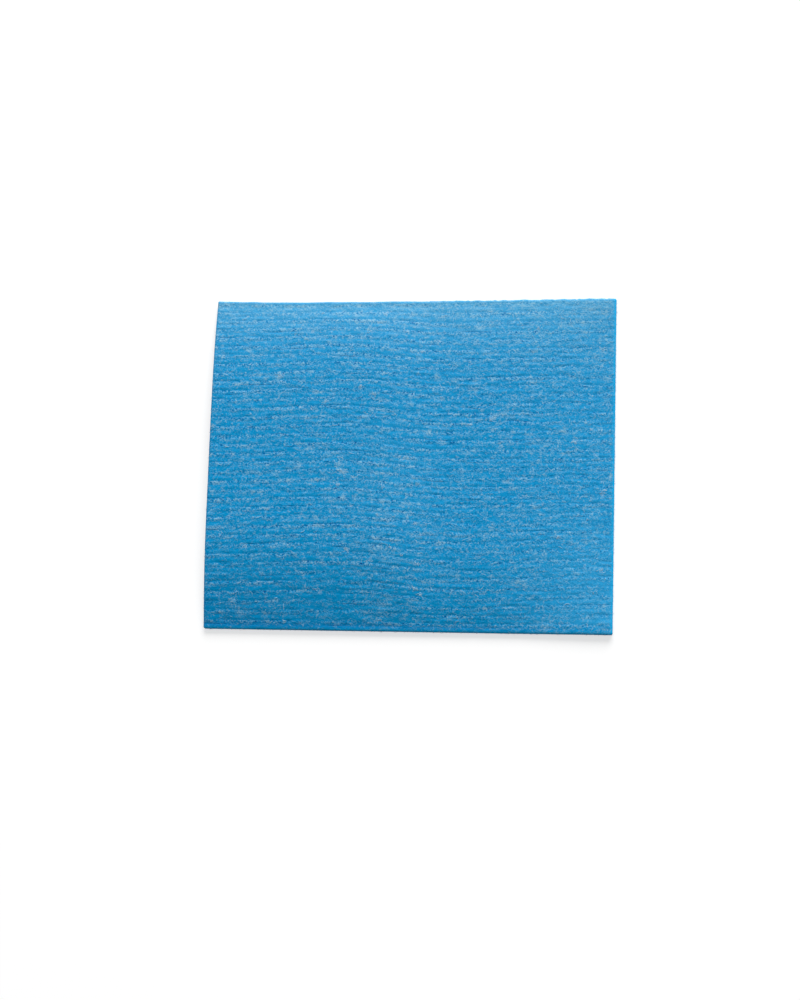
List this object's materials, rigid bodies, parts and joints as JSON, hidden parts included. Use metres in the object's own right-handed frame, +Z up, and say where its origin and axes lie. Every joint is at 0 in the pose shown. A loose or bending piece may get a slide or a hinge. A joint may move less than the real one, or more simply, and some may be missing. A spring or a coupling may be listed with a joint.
{
  "type": "sponge dishcloth",
  "caption": "Blue ribbed cellulose sponge dishcloth, one die-cut sheet, dry and slightly arched, lying flat on its underside.",
  "frame": {"origin": "middle of the cloth's outline, on the surface that it lies on", "axes": "+X along the ribs and the longer side, +Y across the ribs towards the top edge, +Z up out of the upper face"},
  "size_m": [0.2014, 0.167, 0.0083],
  "materials": {
    "cellulose_sponge": "matte ribbed sponge"
  },
  "bodies": {
    "root": {"dishcloth": "cellulose_sponge"}
  },
  "joints": []
}
